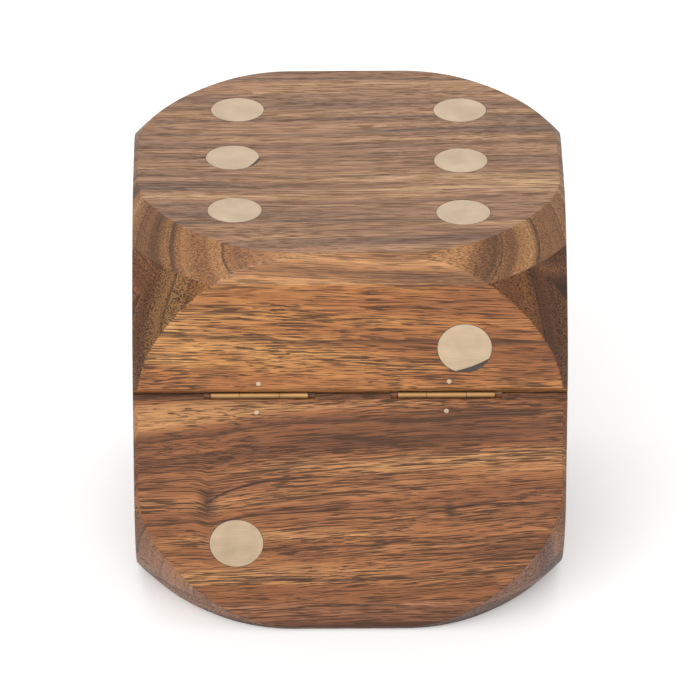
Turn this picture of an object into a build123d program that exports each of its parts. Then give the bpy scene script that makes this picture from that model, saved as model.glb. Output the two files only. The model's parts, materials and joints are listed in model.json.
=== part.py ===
"""Hinged wooden dice box in the shape of a western die, with inlaid brass pips.

A block of glued boards is turned on every corner, drilled and inlaid with pips, and sawn into a
base and a lid, which two small butt hinges join at the rear. Sizes are in millimetres. +Z is up,
+Y is the hinged rear, +X is the right side seen from the front, and z = 0 is the resting face,
with the origin at its centre.
"""
import os
from collections import namedtuple
from math import sqrt

from build123d import *

# Outer block
width = 100.0               # X
depth = 96.4                # Y
height = 98.8               # Z, lid closed
edge_ease = 0.75            # sanded off what the turning leaves of the straight edges, at 45 degrees
edge_blend = 40.0           # large radius that leads an eased edge into the turned corners
arris_round = 0.5           # sanded radius round every flat face

# Boards, butted and glued: the walls stand between the top and bottom boards
top_thickness = 7.7         # top board
bottom_thickness = 7.7      # bottom board
wall_thickness = 9.4        # front and rear walls, which run the full width
side_thickness = 10.0       # left and right walls, which butt between front and rear
corner_wood = 1.45          # wood left by the turning outside each corner of the cavity

# Saw cut between base and lid
parting_rise = 12.4         # above mid-height, so it passes between two rows of pips
rim_gap = 0.2               # daylight between the rims
rear_bevel = 2.3            # 45 degree bevels on both rear rims, which let the lid swing

# Pips
pip_diameter = 12.4
pip_depth = 1.5             # less than the wood outside the hinge leaves
glue_ring = 0.15            # glue line round each pip
pip_offset = 26.2           # from the middle of a face to its outer pips

# Two pips were cut short by the edge of the bar, and dark filler makes up the rest
trim_radius = 25.0          # large radius of the trimmed side
trim_top_loss, trim_top_angle = 0.6, 153.0
trim_rear_loss, trim_rear_angle = 1.25, -67.5

# Butt hinges, three knuckles each
hinge_length = 22.2
hinge_places = {"right": 20.9, "left": -22.1}
leaf_thickness = 0.5
leaf_height = 7.0           # from the pintle's axis
barrel_diameter = 1.6
barrel_inset = 1.6          # pintle's axis, inside the rear face
middle_knuckle = 9.2        # this one is the lid leaf's
knuckle_gap = 0.12
knuckle_clearance = 0.12    # between a leaf's edge and the other leaf's knuckles
pintle_diameter = 0.6
pintle_clearance = 0.04     # radial, running fit

# Cuts for the hinges
kerf_play = 0.1             # kerf wider than the leaf
kerf_depth_play = 0.4
kerf_end_play = 0.3
channel_clearance = 0.25    # round channel outside the barrel
channel_overrun = 1.7       # channel past each end of the barrel

# Hinge fixing pins, driven in from the rear and sanded flush
pin_diameter = 1.1
pin_length = 7.0
pin_hole_play = 0.05        # in the leaf, radial
pin_places = {              # along the hinge from its middle, and from the pintle's axis
    ("right", "lid"): (0.2, 3.8),
    ("right", "base"): (0.7, -3.7),
    ("left", "lid"): (-0.6, 4.2),
    ("left", "base"): (0.0, -3.5),
}

# Derived places
cavity_x = width / 2 - side_thickness
cavity_y = depth / 2 - wall_thickness
cavity_floor = bottom_thickness
cavity_ceiling = height - top_thickness
deepest_corner = max(cavity_ceiling - height / 2, height / 2 - cavity_floor)
turning_radius = sqrt(cavity_x**2 + cavity_y**2 + deepest_corner**2) + corner_wood
parting_height = height / 2 + parting_rise
axis_y = depth / 2 - barrel_inset
barrel_radius = barrel_diameter / 2
leaf_face_y = axis_y - barrel_radius          # inner face of every leaf

os.makedirs("parts", exist_ok=True)


def save(builder, label):
    """Name a finished piece and write it."""
    builder.part.label = label
    export_step(builder.part, f"parts/{label}.step")


# --- the turned block, and its two halves ---

def turned_about(plane, edge_distance):
    """The ball that the turning leaves about a plane's x axis, drawn in at its waist to ease the edges.

    edge_distance is how far the axis is from the block's four edges that are parallel to it.
    """
    waist = edge_distance - edge_ease
    blend_drop = turning_radius - edge_blend
    waist_half = sqrt(blend_drop**2 - (waist - edge_blend) ** 2)
    direction = Vector(waist_half, waist - edge_blend) / blend_drop
    with BuildPart() as ball:
        with BuildSketch(plane):
            with BuildLine():
                Line((0, waist), (waist_half, waist))
                RadiusArc((waist_half, waist), direction * turning_radius, edge_blend)
                RadiusArc(direction * turning_radius, (turning_radius, 0), turning_radius)
                Line((turning_radius, 0), (0, 0))
                mirror(about=Plane.YZ)
            make_face()
        revolve(axis=Axis(plane.origin, plane.x_dir))
    return ball.part


middle = (0, 0, height / 2)
axis_planes = [
    (Plane(middle, x_dir=(1, 0, 0), z_dir=(0, 0, 1)), sqrt(depth**2 + height**2) / 2),
    (Plane(middle, x_dir=(0, 1, 0), z_dir=(0, 0, 1)), sqrt(width**2 + height**2) / 2),
    (Plane(middle, x_dir=(0, 0, 1), z_dir=(1, 0, 0)), sqrt(width**2 + depth**2) / 2),
]

with BuildPart() as block:
    with BuildSketch(Plane.XY):
        Rectangle(width, depth)
    extrude(amount=height)
    # edges that the turning takes away altogether need no easing
    eased = [(plane, reach) for plane, reach in axis_planes if reach - edge_ease < turning_radius]
    for plane, reach in eased:
        add(turned_about(plane, reach), mode=Mode.INTERSECT)
    if not eased:
        with Locations(middle):
            Sphere(turning_radius, mode=Mode.INTERSECT)
    flats = block.faces().filter_by(GeomType.PLANE)
    fillet([edge for flat in flats for edge in flat.edges()], radius=arris_round)


def cut_half(side):
    """The lid's (side 1) or the base's (side -1) half of the block, with its rear bevel."""
    rim = parting_height + side * rim_gap / 2
    beyond = width + depth + height
    with BuildPart() as half:
        add(block.part)
        with BuildSketch(Plane.YZ.offset(-width)):
            with BuildLine():
                Polyline(
                    (-beyond, rim),
                    (depth / 2 - rear_bevel, rim),
                    (depth / 2 - rear_bevel + beyond, rim + side * beyond),
                    (-beyond, rim + side * beyond),
                    close=True,
                )
            make_face()
        extrude(amount=2 * width, mode=Mode.INTERSECT)
    return half.part


halves = {"lid": cut_half(1), "base": cut_half(-1)}

# --- where the pips go ---

# Each face is seen from outside: its x runs to the viewer's right, and on the walls its y runs up.
face_planes = {
    "top": Plane((0, 0, height), x_dir=(1, 0, 0), z_dir=(0, 0, 1)),
    "bottom": Plane((0, 0, 0), x_dir=(1, 0, 0), z_dir=(0, 0, -1)),
    "front": Plane((0, -depth / 2, height / 2), x_dir=(1, 0, 0), z_dir=(0, -1, 0)),
    "rear": Plane((0, depth / 2, height / 2), x_dir=(-1, 0, 0), z_dir=(0, 1, 0)),
    "right": Plane((width / 2, 0, height / 2), x_dir=(0, 1, 0), z_dir=(1, 0, 0)),
    "left": Plane((-width / 2, 0, height / 2), x_dir=(0, -1, 0), z_dir=(-1, 0, 0)),
}

# Column, row, and how far the drill wandered. Opposite faces add up to seven.
pip_layouts = {
    "top": [
        (1, -1, -0.35, -0.25), (-1, -1, -0.35, 0.45),
        (1, 0, 0.7, -1.4), (-1, 0, 0.0, 0.6),
        (1, 1, 0.2, -0.7), (-1, 1, 0.0, 0.9),
    ],
    "bottom": [(0, 0, 0.0, 0.0)],
    "front": [
        (-1, -1, 0.3, 0.2), (1, -1, 0.0, -0.4), (0, 0, 0.2, 0.0),
        (-1, 1, 0.0, -0.3), (1, 1, -0.3, 0.1),
    ],
    "rear": [(1, 1, 0.0, -1.0), (-1, -1, -0.2, 0.4)],
    "right": [(-1, 1, 0.2, -0.5), (0, 0, 0.0, 0.2), (1, -1, -0.2, 0.0)],
    "left": [(-1, -1, 0.0, 0.3), (1, -1, 0.3, 0.0), (-1, 1, -0.2, -0.4), (1, 1, 0.0, 0.2)],
}

Pip = namedtuple("Pip", "label board plane place")


def board_of(face, row):
    """The board that holds a face's pip in a row."""
    if face == "top":
        return "lid_top_board"
    if face == "bottom":
        return "base_bottom_board"
    half = "lid" if row * pip_offset > parting_rise else "base"
    return f"{half}_{face}_wall"


pips = [
    Pip(
        label=f"{face}_pip_{number}",
        board=board_of(face, row),
        plane=face_planes[face],
        place=(column * pip_offset + drift_x, row * pip_offset + drift_y),
    )
    for face, layout in pip_layouts.items()
    for number, (column, row, drift_x, drift_y) in enumerate(layout, start=1)
]

# --- boards ---

whole_x, whole_y = (-width / 2, width / 2), (-depth / 2, depth / 2)
between_x, between_y = (-cavity_x, cavity_x), (-cavity_y, cavity_y)
front_y, rear_y = (-depth / 2, -cavity_y), (cavity_y, depth / 2)
left_x, right_x = (-width / 2, -cavity_x), (cavity_x, width / 2)
wall_z = (cavity_floor, cavity_ceiling)

boards = {
    "lid_top_board": (whole_x, whole_y, (cavity_ceiling, height)),
    "lid_front_wall": (whole_x, front_y, wall_z),
    "lid_rear_wall": (whole_x, rear_y, wall_z),
    "lid_left_wall": (left_x, between_y, wall_z),
    "lid_right_wall": (right_x, between_y, wall_z),
    "base_bottom_board": (whole_x, whole_y, (0, cavity_floor)),
    "base_front_wall": (whole_x, front_y, wall_z),
    "base_rear_wall": (whole_x, rear_y, wall_z),
    "base_left_wall": (left_x, between_y, wall_z),
    "base_right_wall": (right_x, between_y, wall_z),
}


def disc(plane, place, radius):
    """A round profile on a plane."""
    with BuildSketch(plane) as profile:
        with Locations(place):
            Circle(radius)
    return profile.sketch


def strip(plane, half, thickness, length):
    """The profile of a hinge leaf, or of its kerf: it starts at the pintle's height."""
    rise = length / 2 if half == "lid" else -length / 2
    with BuildSketch(plane) as profile:
        with Locations((leaf_face_y + thickness / 2, parting_height + rise)):
            Rectangle(thickness, length)
    return profile.sketch


def pin_profile(name, half, radius):
    """A hinge fixing pin's round profile on the rear face."""
    along, away = pin_places[name, half]
    place = (-(hinge_places[name] + along), parting_rise + away)
    return disc(face_planes["rear"], place, radius)


def cut_hinge_seat(name, half):
    """In a rear wall: the barrel's channel, the leaf's kerf and the fixing pin's hole."""
    channel_length = hinge_length + 2 * channel_overrun
    channel_start = Plane.YZ.offset(hinge_places[name] - channel_length / 2)
    channel = disc(channel_start, (axis_y, parting_height), barrel_radius + channel_clearance)
    extrude(channel, amount=channel_length, mode=Mode.SUBTRACT)
    kerf_length = hinge_length + 2 * kerf_end_play
    kerf_start = Plane.YZ.offset(hinge_places[name] - kerf_length / 2)
    kerf = strip(kerf_start, half, leaf_thickness + kerf_play, leaf_height + kerf_depth_play)
    extrude(kerf, amount=kerf_length, mode=Mode.SUBTRACT)
    extrude(pin_profile(name, half, pin_diameter / 2), amount=-pin_length, mode=Mode.SUBTRACT)


for label, (x_span, y_span, z_span) in boards.items():
    half = label.split("_")[0]
    with BuildPart() as board:
        with BuildSketch(Plane.XY.offset(z_span[0])):
            with Locations((sum(x_span) / 2, sum(y_span) / 2)):
                Rectangle(x_span[1] - x_span[0], y_span[1] - y_span[0])
        extrude(amount=z_span[1] - z_span[0])
        add(halves[half], mode=Mode.INTERSECT)
        for pip in pips:
            if pip.board == label:
                bore = disc(pip.plane, pip.place, pip_diameter / 2 + glue_ring)
                extrude(bore, amount=-pip_depth, mode=Mode.SUBTRACT)
        if label.endswith("rear_wall"):
            for name in hinge_places:
                cut_hinge_seat(name, half)
    save(board, label)

# --- pips and filler ---

# Pip to trim: how much is missing, and towards which side
trims = {
    "top_pip_3": (trim_top_loss, trim_top_angle),
    "rear_pip_1": (trim_rear_loss, trim_rear_angle),
}


def trim_centre(pip):
    """Centre of the large circle that bounds a trimmed pip."""
    loss, angle = trims[pip.label]
    back = trim_radius - (pip_diameter / 2 - loss)
    return Vector(*pip.place) - Vector(back, 0).rotate(Axis.Z, angle)


for pip in pips:
    with BuildPart() as plug:
        with BuildSketch(pip.plane):
            with Locations(pip.place):
                Circle(pip_diameter / 2)
            if pip.label in trims:
                with Locations(trim_centre(pip)):
                    Circle(trim_radius, mode=Mode.INTERSECT)
        extrude(amount=-pip_depth)
    save(plug, pip.label)
    if pip.label in trims:
        with BuildPart() as filler:
            with BuildSketch(pip.plane):
                with Locations(pip.place):
                    Circle(pip_diameter / 2 + glue_ring)
                with Locations(trim_centre(pip)):
                    Circle(trim_radius, mode=Mode.SUBTRACT)
            extrude(amount=-pip_depth)
        save(filler, f"{pip.label}_filler")

# --- hinges ---


def knuckle_spans(half):
    """Start and end of a leaf's own knuckles, from the hinge's middle."""
    inner = middle_knuckle / 2
    if half == "lid":
        return [(-inner + knuckle_gap / 2, inner - knuckle_gap / 2)]
    return [(-hinge_length / 2, -inner - knuckle_gap / 2), (inner + knuckle_gap / 2, hinge_length / 2)]


def add_barrel(name, spans, radius, mode):
    """Round bars along the pintle's axis, in the part being built."""
    for start, end in spans:
        bar = disc(Plane.YZ.offset(hinge_places[name] + start), (axis_y, parting_height), radius)
        extrude(bar, amount=end - start, mode=mode)


whole_hinge = [(-hinge_length / 2, hinge_length / 2)]
opposite = {"lid": "base", "base": "lid"}

for name, half in pin_places:
    # the other leaf's knuckles, and the gaps beside them, are clear of this leaf's plate
    cleared = [(start - knuckle_gap, end + knuckle_gap) for start, end in knuckle_spans(opposite[half])]
    with BuildPart() as leaf:
        plate_start = Plane.YZ.offset(hinge_places[name] - hinge_length / 2)
        extrude(strip(plate_start, half, leaf_thickness, leaf_height), amount=hinge_length)
        add_barrel(name, cleared, barrel_radius + knuckle_clearance, Mode.SUBTRACT)
        add_barrel(name, knuckle_spans(half), barrel_radius, Mode.ADD)
        add_barrel(name, whole_hinge, pintle_diameter / 2 + pintle_clearance, Mode.SUBTRACT)
        pin_hole = pin_profile(name, half, pin_diameter / 2 + pin_hole_play)
        extrude(pin_hole, amount=-pin_length, mode=Mode.SUBTRACT)
    save(leaf, f"{name}_hinge_{half}_leaf")

    with BuildPart() as pin:
        extrude(pin_profile(name, half, pin_diameter / 2), amount=-pin_length)
    save(pin, f"{name}_hinge_{half}_pin")

for name in hinge_places:
    with BuildPart() as pintle:
        add_barrel(name, whole_hinge, pintle_diameter / 2, Mode.ADD)
    save(pintle, f"{name}_hinge_pintle")
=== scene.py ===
"""Looks of a hinged wooden dice box: rosewood boards, sanded brass pips and small brass hinges."""
import json
import math

import bmesh
import bpy
from mathutils import Matrix, Vector


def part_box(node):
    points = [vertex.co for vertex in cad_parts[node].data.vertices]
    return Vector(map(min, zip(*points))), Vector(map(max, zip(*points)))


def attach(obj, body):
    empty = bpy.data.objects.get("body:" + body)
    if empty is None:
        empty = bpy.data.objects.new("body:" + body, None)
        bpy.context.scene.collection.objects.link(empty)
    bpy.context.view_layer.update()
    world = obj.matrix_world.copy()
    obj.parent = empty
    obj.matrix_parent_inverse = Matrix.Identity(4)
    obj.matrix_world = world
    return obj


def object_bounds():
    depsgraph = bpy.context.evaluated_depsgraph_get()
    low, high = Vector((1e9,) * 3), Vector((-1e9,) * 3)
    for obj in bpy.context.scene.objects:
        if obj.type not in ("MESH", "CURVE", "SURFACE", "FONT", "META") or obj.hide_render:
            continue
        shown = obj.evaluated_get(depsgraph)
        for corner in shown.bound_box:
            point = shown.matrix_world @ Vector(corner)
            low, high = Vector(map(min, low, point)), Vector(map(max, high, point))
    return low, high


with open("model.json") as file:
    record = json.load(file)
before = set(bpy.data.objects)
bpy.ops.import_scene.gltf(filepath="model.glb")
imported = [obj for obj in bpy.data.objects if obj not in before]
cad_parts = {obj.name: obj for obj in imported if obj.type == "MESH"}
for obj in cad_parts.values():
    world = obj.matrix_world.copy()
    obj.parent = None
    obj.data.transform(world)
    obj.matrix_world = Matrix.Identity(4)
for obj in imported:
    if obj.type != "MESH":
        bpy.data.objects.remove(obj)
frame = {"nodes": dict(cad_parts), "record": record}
cad_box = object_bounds()

MM = 0.001
centre = (cad_box[0] + cad_box[1]) / 2
nodes = frame["nodes"]
hinge_axis = Vector(frame["record"]["behaviour"]["joints"][0]["pos_m"])


# --- colour and shader helpers ---

def srgb(text):
    """A hex colour as linear red, green and blue, and full alpha."""
    channels = [int(text[i:i + 2], 16) / 255 for i in (1, 3, 5)]
    return (*[c / 12.92 if c <= 0.04045 else ((c + 0.055) / 1.055) ** 2.4 for c in channels], 1.0)


def add(tree, kind, inputs=None, **settings):
    """Adds a shader node of a kind, such as "Math", with its settings and its links.

    inputs maps a socket's name or number to a value, to another socket, or to another node, which
    stands for that node's first output.
    """
    shader_node = tree.nodes.new("ShaderNode" + kind)
    for name, value in settings.items():
        setattr(shader_node, name, value)
    for key, value in (inputs or {}).items():
        socket = shader_node.inputs[key]
        if isinstance(value, bpy.types.Node):
            value = value.outputs[0]
        if isinstance(value, bpy.types.NodeSocket):
            tree.links.new(value, socket)
        else:
            socket.default_value = value
    return shader_node


def new_material(name):
    """A material without nodes, and its tree."""
    material = bpy.data.materials.new(name)
    material.use_nodes = True
    material.node_tree.nodes.clear()
    return material, material.node_tree


def give_surface(tree, finish):
    """Ends a material's tree with its surface. finish holds the inputs of the Principled shader."""
    shader = add(tree, "BsdfPrincipled", finish)
    add(tree, "OutputMaterial", {"Surface": shader})


# --- rosewood ---
# All sizes are in mm. Bands, fibres and vessels fill the solid board, so they show as streaks along
# the grain, and as rings and dots on a cut end. X is along the grain, Z is up.

DARK_LINE = "#29170e"       # season lines, knots, and the dust and painted shade in the hinges' seats
PORE = "#37200f"

# growth bands, from the dark ones to the pale ones, and where each tone lies in the pattern
RED_BROWN = ("#56331d", "#6b4024", "#7a4b2b", "#885733", "#9c6e44")
GOLD_BROWN = ("#643b20", "#7b4a27", "#8c582e", "#9b6838", "#b08350")
DULL_BROWN = ("#644227", "#7e5432", "#91633c", "#a27448", "#b88d5e")
PLUM_BROWN = ("#412718", "#5c3a25", "#70462e", "#825538", "#9a7050")
DEEP_BROWN = ("#2f1b12", "#472a1a", "#5c3822", "#70472a", "#8b6038")
TONE_PLACES = (0.32, 0.42, 0.5, 0.57, 0.66)

BAND_LENGTH = 140           # over which a growth band changes its tone
SLOW_WAVE = (110, 50)       # length and thickness of the grain's slow waves
WRIGGLE = (30, 9)           # and of its small wriggles
WRIGGLE_REACH = 1.0
SEASON = 1.3                # distance between season lines, in ring widths

# Real fibres are about 0.02 thick. They are drawn as bundles, coarse enough to show.
FIBRE_LENGTH = 11
FIBRE_WIDTH = 0.26

# Vessels are slender dark pores, in two sorts. Each has a length and a width, which is drawn wider
# than a real pore's 0.1 to 0.2 so that it shows.
VESSELS = ((11, 0.3), (7, 0.2))
PORE_EDGE = 0.58            # the pattern is a pore where it rises past this
PORE_BLUR = 0.03
PORE_DEPTH = 0.88

SHADED_DUSTY_SEAT = (0.9, 1.3)     # from the hinge's axis, to where the dust and painted shade start to thin and where they end


def drawn_to_knots(tree, straight, knots):
    """The bands' place after they sink towards each knot: soon on one side, slowly on the other."""
    flow = straight
    for along, up, reach, rise, _ in knots:
        offset = add(tree, "VectorMath", {0: straight, 1: (-along, 0, -up)}, operation="ADD")
        parts = add(tree, "SeparateXYZ", {0: offset})
        steep = add(tree, "Math", {0: parts.outputs["X"], 1: 6.0 / reach}, operation="MULTIPLY")
        gentle = add(tree, "Math", {0: parts.outputs["X"], 1: -1 / reach}, operation="MULTIPLY")
        away = add(tree, "Math", {0: steep, 1: gentle}, operation="MAXIMUM")
        # the two slopes meet in a point, which this rounds off
        away_square = add(tree, "Math", {0: away, 1: away}, operation="MULTIPLY")
        away_more = add(tree, "Math", {0: away, 1: 0.4}, operation="ADD")
        rounded = add(tree, "Math", {0: away_square, 1: away_more}, operation="DIVIDE")
        height = add(tree, "Math", {0: parts.outputs["Z"], 1: 0.6 / rise}, operation="MULTIPLY")
        height_square = add(tree, "Math", {0: height, 1: height}, operation="MULTIPLY")
        distance = add(tree, "Math", {0: rounded, 1: height_square}, operation="ADD")
        falloff = add(tree, "Math", {0: distance, 1: -1.0}, operation="MULTIPLY")
        bell = add(tree, "Math", {0: falloff}, operation="EXPONENT")
        pull = add(tree, "VectorMath", {0: (0, 0, 0.22 * rise), "Scale": bell}, operation="SCALE")
        flow = add(tree, "VectorMath", {0: flow, 1: pull}, operation="ADD")
    return flow


def wandering(tree, straight, flow, seed, wave, lean):
    """The bands' place after slow waves along the board, small wriggles, and an even tilt."""
    for (length, thickness), reach in ((SLOW_WAVE, wave), (WRIGGLE, WRIGGLE_REACH)):
        stretched = add(tree, "Mapping", {
            "Vector": straight, "Scale": (1 / length, 1 / thickness, 1 / thickness), "Location": seed})
        noise = add(tree, "TexNoise", {"Vector": stretched, "Scale": 1.0, "Detail": 1.0})
        centred = add(tree, "VectorMath", {
            0: noise.outputs["Color"], 1: (-0.5, -0.5, -0.5)}, operation="ADD")
        shift = add(tree, "VectorMath", {0: centred, 1: (0, reach, reach)}, operation="MULTIPLY")
        flow = add(tree, "VectorMath", {0: flow, 1: shift}, operation="ADD")
    return add(tree, "Mapping", {"Vector": flow, "Rotation": (0, math.radians(lean), 0)})


def growth_bands(tree, flow, seed, pith, ring_width, tones):
    """Growth bands at equal distances from the pith, and a thin dark line that closes each season.

    Returns the bands' colour, the lines from 0 to 1, and the place that the bands are drawn at.
    """
    from_pith = add(tree, "VectorMath", {0: flow, 1: (0, -pith[0], -pith[1])}, operation="ADD")
    across = add(tree, "VectorMath", {0: from_pith, 1: (0, 1, 1)}, operation="MULTIPLY")
    radius = add(tree, "VectorMath", {0: across}, operation="LENGTH").outputs["Value"]
    parts = add(tree, "SeparateXYZ", {0: flow})
    long_way = add(tree, "Math", {0: parts.outputs["X"], 1: 1 / BAND_LENGTH}, operation="MULTIPLY")
    thick_way = add(tree, "Math", {0: radius, 1: 1 / ring_width}, operation="MULTIPLY")
    band_place = add(tree, "CombineXYZ", {0: long_way, 1: thick_way, 2: seed[0]})
    band = add(tree, "TexNoise", {
        "Vector": band_place, "Scale": 1.0, "Detail": 5.0, "Roughness": 0.58})
    tone = add(tree, "ValToRGB", {"Fac": band})
    stops = tone.color_ramp.elements
    stops.remove(stops[-1])
    stops[0].position = TONE_PLACES[0]
    stops[0].color = srgb(tones[0])
    for tone_place, hex_tone in zip(TONE_PLACES[1:], tones[1:]):
        stops.new(tone_place).color = srgb(hex_tone)

    season = add(tree, "Math", {0: radius, 1: 1 / (SEASON * ring_width)}, operation="MULTIPLY")
    uneven_season = add(tree, "Math", {0: season, 1: band}, operation="ADD")
    season_part = add(tree, "Math", {0: uneven_season}, operation="FRACT")
    season_line = add(tree, "MapRange", {
        "Value": season_part, "From Min": 0.9, "From Max": 0.97, "To Min": 0.0, "To Max": 0.62})
    return tone, season_line, band_place


def vessels(tree, flow, band_place, seed):
    """Where the pores are, from 0 to 1. They are crowded in some bands and sparse in others."""
    crowd = add(tree, "TexNoise", {"Vector": band_place, "Scale": 2.3, "Detail": 2.0})
    crowding = add(tree, "MapRange", {
        "Value": crowd, "From Min": 0.35, "From Max": 0.65, "To Min": -0.03, "To Max": 0.05})
    sorts = []
    for length, width in VESSELS:
        cell = add(tree, "Mapping", {
            "Vector": flow, "Scale": (1 / length, 1 / width, 1 / width),
            "Location": (seed[2], seed[0], seed[1])})
        vessel = add(tree, "TexNoise", {"Vector": cell, "Scale": 1.0, "Detail": 1.0})
        crowded = add(tree, "Math", {0: vessel, 1: crowding}, operation="ADD")
        sorts.append(add(tree, "MapRange", {
            "Value": crowded, "From Min": PORE_EDGE, "From Max": PORE_EDGE + PORE_BLUR}))
    return add(tree, "Math", {0: sorts[0], 1: sorts[1]}, operation="MAXIMUM")


def knot_mark(tree, straight, fibre, knot):
    """The dark heart of a knot and the dark line that runs out of it, from 0 to 1."""
    along, up, reach, rise, size = knot
    offset = add(tree, "VectorMath", {0: straight, 1: (-along, 0, -up)}, operation="ADD")
    oval = add(tree, "VectorMath", {0: offset, 1: (1 / size, 0, 0.5 / size)}, operation="MULTIPLY")
    gap = add(tree, "VectorMath", {0: oval}, operation="LENGTH")
    ragged = add(tree, "Math", {0: gap.outputs["Value"], 1: fibre}, operation="ADD")
    heart = add(tree, "MapRange", {
        "Value": ragged, "From Min": 0.5, "From Max": 1.7, "To Min": 0.8, "To Max": 0.0})

    # the line sinks by rise over about one reach, and fades after a few
    past = add(tree, "SeparateXYZ", {0: offset})
    run = add(tree, "Math", {0: past.outputs["X"], 1: 1 / reach}, operation="MULTIPLY")
    climb = add(tree, "Math", {0: run}, operation="EXPONENT")
    drop = add(tree, "Math", {0: climb, 1: rise}, operation="MULTIPLY")
    wander = add(tree, "Math", {0: fibre, 1: drop}, operation="ADD")
    level = add(tree, "Math", {0: past.outputs["Z"], 1: wander}, operation="ADD")
    off_level = add(tree, "Math", {0: level, 1: -rise - 0.5}, operation="ADD")
    off_line = add(tree, "Math", {0: off_level}, operation="ABSOLUTE")
    line = add(tree, "MapRange", {
        "Value": off_line, "From Min": 0.12, "From Max": 0.46, "To Min": 0.95, "To Max": 0.0})
    fade = add(tree, "MapRange", {
        "Value": past.outputs["X"], "From Min": -6.0 * reach, "From Max": -2.0 * reach})
    one_side = add(tree, "Math", {0: past.outputs["X"], 1: 0.5}, operation="LESS_THAN")
    kept = add(tree, "Math", {0: fade, 1: one_side}, operation="MULTIPLY")
    drawn_line = add(tree, "Math", {0: line, 1: kept}, operation="MULTIPLY")
    return add(tree, "Math", {0: heart, 1: drawn_line}, operation="MAXIMUM")


def seat_dust_and_shade(tree, place):
    """Dust in the saw cut and the hinges' seats, which are unlacquered, and painted shade in these
    recesses, from 0 to 1.
    """
    from_axis = add(tree, "VectorMath", {
        0: place.outputs["Object"], 1: tuple(-hinge_axis)}, operation="ADD")
    in_section = add(tree, "VectorMath", {0: from_axis, 1: (0, 1, 1)}, operation="MULTIPLY")
    axis_gap = add(tree, "VectorMath", {0: in_section}, operation="LENGTH")
    return add(tree, "MapRange", {
        "Value": axis_gap.outputs["Value"], "From Min": SHADED_DUSTY_SEAT[0] * MM,
        "From Max": SHADED_DUSTY_SEAT[1] * MM, "To Min": 0.5, "To Max": 0.0})


def rosewood(board, grain, seed, pith, tones, lean=0.0, wave=7.0, ring_width=5.0, end_tone=0.75,
             polish=0.36, contrast=1.0, hinged=False, knots=()):
    """Rosewood, sanded and thinly lacquered: banded browns under a satin sheen, open dark pores.

    grain is "X" or "Y"; pith is where the tree's middle lay, in mm across the grain and up; tones
    colour the growth bands; lean tilts the grain, in degrees; wave is how far it wanders, in mm;
    end_tone darkens the cut ends; polish is how strongly the lacquer reflects; contrast sets how
    plainly the fibres and pores show; hinged puts dust and painted shade in the hinges' seats.
    Each knot is (along, up, reach, rise, size) in mm, and draws the bands to it.
    """
    material, tree = new_material("lacquered rosewood " + board)
    place = add(tree, "TexCoord")
    turn = -math.pi / 2 if grain == "Y" else 0.0
    straight = add(tree, "Mapping", {
        "Vector": place.outputs["Object"], "Scale": (1 / MM,) * 3, "Rotation": (0, 0, turn)})
    flow = drawn_to_knots(tree, straight, knots)
    flow = wandering(tree, straight, flow, seed, wave, lean)
    tone, season_line, band_place = growth_bands(tree, flow, seed, pith, ring_width, tones)

    # some fibres are paler and some darker
    fibre_place = add(tree, "Mapping", {
        "Vector": flow, "Scale": (1 / FIBRE_LENGTH, 1 / FIBRE_WIDTH, 1 / FIBRE_WIDTH),
        "Location": seed})
    fibre = add(tree, "TexNoise", {
        "Vector": fibre_place, "Scale": 1.0, "Detail": 2.0, "Roughness": 0.6})
    fibre_shade = add(tree, "MapRange", {
        "Value": fibre, "From Min": 0.3, "From Max": 0.7,
        "To Min": 1 - 0.3 * contrast, "To Max": 1 + 0.32 * contrast})
    colour = add(tree, "VectorMath", {0: tone, "Scale": fibre_shade}, operation="SCALE").outputs[0]

    # then the dark marks, one over the other
    pores = vessels(tree, flow, band_place, seed)
    pore_depth = add(tree, "Math", {0: pores, 1: PORE_DEPTH * contrast}, operation="MULTIPLY")
    marks = [(season_line, DARK_LINE), (pore_depth, PORE)]
    marks += [(knot_mark(tree, straight, fibre, knot), DARK_LINE) for knot in knots]
    # the hinges' seats are darkened: dust on the bare wood, and painted shade in the recess
    if hinged:
        marks.append((seat_dust_and_shade(tree, place), DARK_LINE))
    for share, dark in marks:
        colour = add(tree, "Mix", {
            "Factor": share, "A": colour, "B": srgb(dark)}, data_type="RGBA").outputs["Result"]

    # cut ends drink more lacquer and look darker
    grain_axis = (0, 1, 0) if grain == "Y" else (1, 0, 0)
    facing = add(tree, "VectorMath", {
        0: place.outputs["Normal"], 1: grain_axis}, operation="DOT_PRODUCT")
    end = add(tree, "Math", {0: facing.outputs["Value"]}, operation="ABSOLUTE")
    end_shade = add(tree, "MapRange", {
        "Value": end, "From Min": 0.2, "From Max": 0.7, "To Min": 1.0, "To Max": end_tone})

    # the lacquer is smooth between the pores, dull and slightly sunk in them
    relief = add(tree, "Math", {0: fibre, 1: pores}, operation="SUBTRACT")
    give_surface(tree, {
        "Base Color": add(tree, "VectorMath", {0: colour, "Scale": end_shade}, operation="SCALE"),
        "Roughness": add(tree, "MapRange", {"Value": pores, "To Min": 0.38, "To Max": 0.65}),
        "IOR": 1.45,
        "Specular IOR Level": polish,
        "Normal": add(tree, "Bump", {"Height": relief, "Strength": 0.3, "Distance": 0.08 * MM}),
    })
    return material


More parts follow.
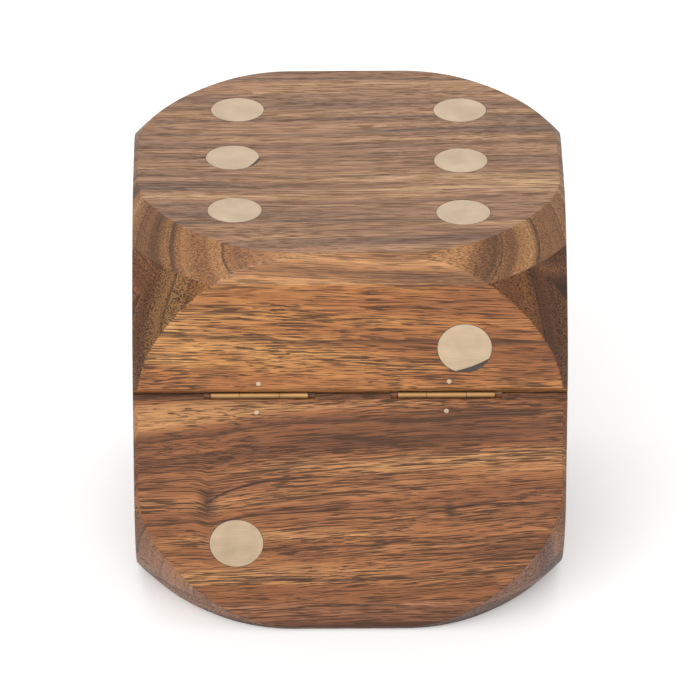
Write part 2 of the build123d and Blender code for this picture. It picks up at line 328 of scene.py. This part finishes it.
board_woods = {
    "lid_top_board": rosewood(
        "lid top", "X", (3.1, 7.7, 1.3), (72, 135), DULL_BROWN,
        lean=0.5, end_tone=0.74, polish=0.5, contrast=0.72),
    "lid_rear_wall": rosewood(
        "lid rear", "X", (0.5, 8.6, 2.9), (-60, 26), GOLD_BROWN, lean=1.0, end_tone=0.36, hinged=True),
    "lid_front_wall": rosewood("lid front", "X", (1.9, 4.6, 9.2), (70, 30), GOLD_BROWN),
    "lid_left_wall": rosewood("lid left", "Y", (6.5, 0.8, 2.7), (60, 120), DEEP_BROWN),
    "lid_right_wall": rosewood("lid right", "Y", (2.8, 9.1, 4.4), (-80, 10), RED_BROWN),
    "base_bottom_board": rosewood(
        "base bottom", "X", (5.6, 3.3, 7.9), (60, -90), PLUM_BROWN, end_tone=0.95),
    "base_rear_wall": rosewood(
        "base rear", "X", (1.5, 4.9, 0.4), (-50, 95), RED_BROWN,
        lean=-3.0, ring_width=4.0, end_tone=0.9, hinged=True,
        knots=((33, 34.5, 9, 7, 2.5), (-23, 32.5, 5, 1.5, 1.5))),
    "base_front_wall": rosewood("base front", "X", (9.7, 1.4, 3.8), (90, 20), RED_BROWN),
    "base_left_wall": rosewood("base left", "Y", (7.3, 5.2, 8.6), (50, -40), DEEP_BROWN),
    "base_right_wall": rosewood("base right", "Y", (0.9, 8.3, 6.1), (-70, 90), RED_BROWN),
}


# --- brass, filler and glue ---

SCRATCH_BUMP = 0.02 * MM    # how deep the scratches look
CLOUD_SIZE = 6 * MM         # of the brass's faint dull patches
DUST_SIZE = 0.5 * MM        # of the specks in filler and glue, drawn coarse enough to show


def scratched_brass(name, colour, roughness, scratch_length, scratch_width):
    """Brass rubbed one way: pale and satin, with fine straight scratches and faint dull patches.

    The scratches' sizes are in mm, and drawn wider than an abrasive's grit so that they show.
    """
    material, tree = new_material(name)
    place = add(tree, "TexCoord")
    scratch_place = add(tree, "Mapping", {
        "Vector": place.outputs["Object"],
        "Scale": (1 / (scratch_length * MM), 1 / (scratch_width * MM), 1 / (scratch_width * MM)),
    })
    scratch = add(tree, "TexNoise", {
        "Vector": scratch_place, "Scale": 1.0, "Detail": 3.0, "Roughness": 0.65})
    cloud_place = add(tree, "Mapping", {"Vector": place.outputs["Object"], "Scale": (1 / CLOUD_SIZE,) * 3})
    cloud = add(tree, "TexNoise", {"Vector": cloud_place, "Scale": 1.0, "Detail": 2.0})
    both = add(tree, "Math", {0: scratch, 1: cloud}, operation="ADD")
    shade = add(tree, "MapRange", {
        "Value": both, "From Min": 0.7, "From Max": 1.3, "To Min": 0.83, "To Max": 1.12})
    give_surface(tree, {
        "Base Color": add(tree, "VectorMath", {
            0: srgb(colour)[:3], "Scale": shade}, operation="SCALE"),
        "Metallic": 1.0,
        "Roughness": add(tree, "MapRange", {
            "Value": scratch, "From Min": 0.3, "From Max": 0.7,
            "To Min": roughness - 0.08, "To Max": roughness + 0.1}),
        "Normal": add(tree, "Bump", {"Height": scratch, "Strength": 0.3, "Distance": SCRATCH_BUMP}),
    })
    return material


def dusty_fill(name, colour, roughness):
    """Glue or filler with wood dust in it: dark, dull and slightly mottled."""
    material, tree = new_material(name)
    place = add(tree, "TexCoord")
    dust_place = add(tree, "Mapping", {
        "Vector": place.outputs["Object"], "Scale": (1 / DUST_SIZE,) * 3})
    dust = add(tree, "TexNoise", {"Vector": dust_place, "Scale": 1.0, "Detail": 3.0})
    shade = add(tree, "MapRange", {
        "Value": dust, "From Min": 0.3, "From Max": 0.7, "To Min": 0.75, "To Max": 1.25})
    give_surface(tree, {
        "Base Color": add(tree, "VectorMath", {
            0: srgb(colour)[:3], "Scale": shade}, operation="SCALE"),
        "Roughness": roughness,
        "Normal": add(tree, "Bump", {"Height": dust, "Strength": 0.2, "Distance": 0.05 * MM}),
    })
    return material


pip_brass = scratched_brass("sanded brass", "#b7a288", 0.4, 5.0, 0.12)
hinge_brass = scratched_brass("drawn brass", "#91704a", 0.5, 3.0, 0.1)
filler = dusty_fill("sanded wood filler", "#2f231b", 0.55)
glue = dusty_fill("sanded wood glue", "#3a271c", 0.5)

for name, cad_node in nodes.items():
    if name in board_woods:
        material = board_woods[name]
    elif name.endswith("filler"):
        material = filler
    elif "_hinge_" in name and not name.endswith("pin"):
        material = hinge_brass
    else:
        material = pip_brass
    cad_node.material_slots[0].material = material


# --- glue lines round the pips ---

GLUE_WIDTH = 0.15 * MM
GLUE_RECESS = 0.03 * MM     # below the surface that it was sanded with
GLUE_DEPTH = 0.6 * MM
RING_STEPS = 64
pip_radius = (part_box("bottom_pip_1")[1].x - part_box("bottom_pip_1")[0].x) / 2
face_directions = {
    "top": (0, 0, 1), "bottom": (0, 0, -1), "front": (0, -1, 0),
    "rear": (0, 1, 0), "right": (1, 0, 0), "left": (-1, 0, 0),
}


def glue_line(name):
    """A thin ring of squeezed-out glue between a pip and its bore, just under the surface."""
    low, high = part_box(name)
    outwards = Vector(face_directions[name.split("_")[0]])
    # a trimmed pip is whole on its high side, so its middle is found from there
    middle = high - Vector((pip_radius,) * 3)
    for i in range(3):
        if outwards[i] > 0:
            middle[i] = high[i] - GLUE_RECESS
        elif outwards[i] < 0:
            middle[i] = low[i] + GLUE_RECESS
    bm = bmesh.new()
    section = [
        bm.verts.new((pip_radius + step * GLUE_WIDTH, 0, -drop * GLUE_DEPTH))
        for step, drop in ((0, 0), (1, 0), (1, 1), (0, 1))
    ]
    edges = [bm.edges.new((section[i], section[(i + 1) % 4])) for i in range(4)]
    bmesh.ops.spin(
        bm, geom=section + edges, cent=(0, 0, 0), axis=(0, 0, 1), dvec=(0, 0, 0),
        angle=2 * math.pi, steps=RING_STEPS, use_merge=True,
    )
    bmesh.ops.remove_doubles(bm, verts=bm.verts, dist=1e-7)
    bmesh.ops.recalc_face_normals(bm, faces=bm.faces)
    turn = outwards.to_track_quat("Z", "Y").to_matrix().to_4x4()
    bmesh.ops.transform(bm, matrix=Matrix.Translation(middle) @ turn, verts=bm.verts)
    mesh = bpy.data.meshes.new(f"glue_{name}")
    bm.to_mesh(mesh)
    bm.free()
    mesh.materials.append(glue)
    ring = bpy.data.objects.new(f"glue_{name}", mesh)
    bpy.context.scene.collection.objects.link(ring)
    body = next(b for b, members in frame["record"]["behaviour"]["bodies"].items() if name in members)
    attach(ring, body)


for name in nodes:
    if "_pip_" in name and not name.endswith("filler"):
        glue_line(name)


# --- floor, light and camera ---

FLOOR_REACH = 6.0           # from its middle to its edge, in metres
FLOOR_DROP = 0.1 * MM       # so that it and the box's underside don't share a plane


def white_stage():
    """A wide floor of matt white paper, lit a little from below as a light table is."""
    bm = bmesh.new()
    bmesh.ops.create_grid(bm, x_segments=1, y_segments=1, size=FLOOR_REACH)
    mesh = bpy.data.meshes.new("floor")
    bm.to_mesh(mesh)
    bm.free()
    floor = bpy.data.objects.new("floor", mesh)
    floor.location.z = -FLOOR_DROP
    bpy.context.scene.collection.objects.link(floor)
    material, tree = new_material("matt white paper")
    give_surface(tree, {
        "Base Color": srgb("#f4f4f3"),
        "Emission Color": srgb("#ffffff"),
        "Emission Strength": 0.14,
        "Roughness": 0.9,
    })
    mesh.materials.append(material)


def softbox(name, place, power, size):
    """A square area light that faces the box, with its power in watts."""
    data = bpy.data.lights.new(name, "AREA")
    data.energy = power
    data.size = size
    light = bpy.data.objects.new(name, data)
    light.location = place
    light.rotation_mode = "QUATERNION"
    light.rotation_quaternion = (Vector(place) - centre).to_track_quat("Z", "Y")
    bpy.context.scene.collection.objects.link(light)


white_stage()
softbox("front key", (0.3, 1.5, 0.85), 33.0, 1.8)
softbox("back sheen", (0.0, -1.9, 1.15), 6.5, 1.7)

world = bpy.data.worlds.new("studio")
bpy.context.scene.world = world
world.use_nodes = True
background = world.node_tree.nodes["Background"]
background.inputs["Color"].default_value = (1, 1, 1, 1)
background.inputs["Strength"].default_value = 0.8
bpy.context.scene.view_settings.view_transform = "Standard"

CAMERA_AZIMUTH = math.radians(0.58)      # from straight behind the box, towards its right
CAMERA_ELEVATION = math.radians(28.06)
CAMERA_DISTANCE = 1.9
camera_data = bpy.data.cameras.new("camera")
camera_data.sensor_width = 36.0
camera_data.lens = 414.5
camera_data.shift_x = 0.0026
camera_data.shift_y = -0.0044
camera = bpy.data.objects.new("camera", camera_data)
towards = Vector((
    math.sin(CAMERA_AZIMUTH) * math.cos(CAMERA_ELEVATION),
    math.cos(CAMERA_AZIMUTH) * math.cos(CAMERA_ELEVATION),
    math.sin(CAMERA_ELEVATION),
))
camera.location = centre + towards * CAMERA_DISTANCE
camera.rotation_mode = "QUATERNION"
camera.rotation_quaternion = towards.to_track_quat("Z", "Y")
bpy.context.scene.collection.objects.link(camera)
bpy.context.scene.camera = camera
